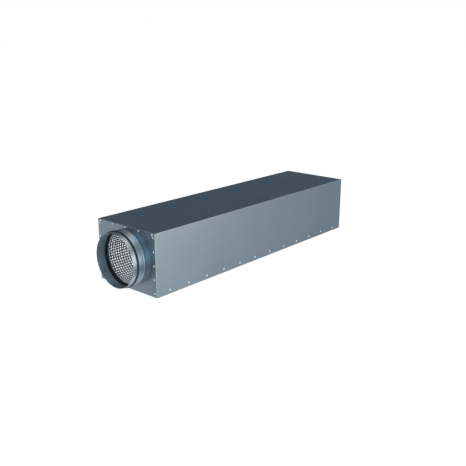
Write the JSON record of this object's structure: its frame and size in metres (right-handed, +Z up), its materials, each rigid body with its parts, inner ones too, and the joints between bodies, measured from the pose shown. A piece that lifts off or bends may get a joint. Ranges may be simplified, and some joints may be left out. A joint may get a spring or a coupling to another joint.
{
  "type": "duct sound attenuator",
  "caption": "Rectangular sheet-metal duct silencer with a round spigot at each end and a perforated airway lined with mineral wool.",
  "frame": {"origin": "on the base, under the middle of the box", "axes": "+X along the airway from the front spigot to the rear one, +Y across the box, +Z up from the base"},
  "size_m": [1.258, 0.3042, 0.23],
  "materials": {
    "galvanised_sheet": "smooth galvanised sheet, blue-grey, semi-matt",
    "spun_steel": "spun galvanised steel with fine marks round the collar",
    "perforated_steel": "galvanised perforated sheet",
    "rivet_metal": "bright plain",
    "gasket_rubber": "matt black",
    "seal_foam": "matt black foam",
    "glass_fleece": "pale matt fleece",
    "mineral_wool": "fibrous matt wool"
  },
  "bodies": {
    "root": {"casing_cover": "galvanised_sheet", "casing_tray": "galvanised_sheet", "spigot_front": "spun_steel", "spigot_rear": "spun_steel", "gasket_front": "gasket_rubber", "gasket_rear": "gasket_rubber", "seal_ring_front": "seal_foam", "seal_ring_rear": "seal_foam", "perforated_tube": "perforated_steel", "fleece_sleeve": "glass_fleece", "wool_near_side": "mineral_wool", "wool_far_side": "mineral_wool", "wool_below": "mineral_wool", "wool_above": "mineral_wool", "rivets_near_side": "rivet_metal", "rivets_far_side": "rivet_metal", "rivets_front_top": "rivet_metal", "rivets_front_near_edge": "rivet_metal", "rivets_front_far_edge": "rivet_metal", "rivets_rear_top": "rivet_metal", "rivets_rear_near_edge": "rivet_metal", "rivets_rear_far_edge": "rivet_metal"}
  },
  "joints": []
}
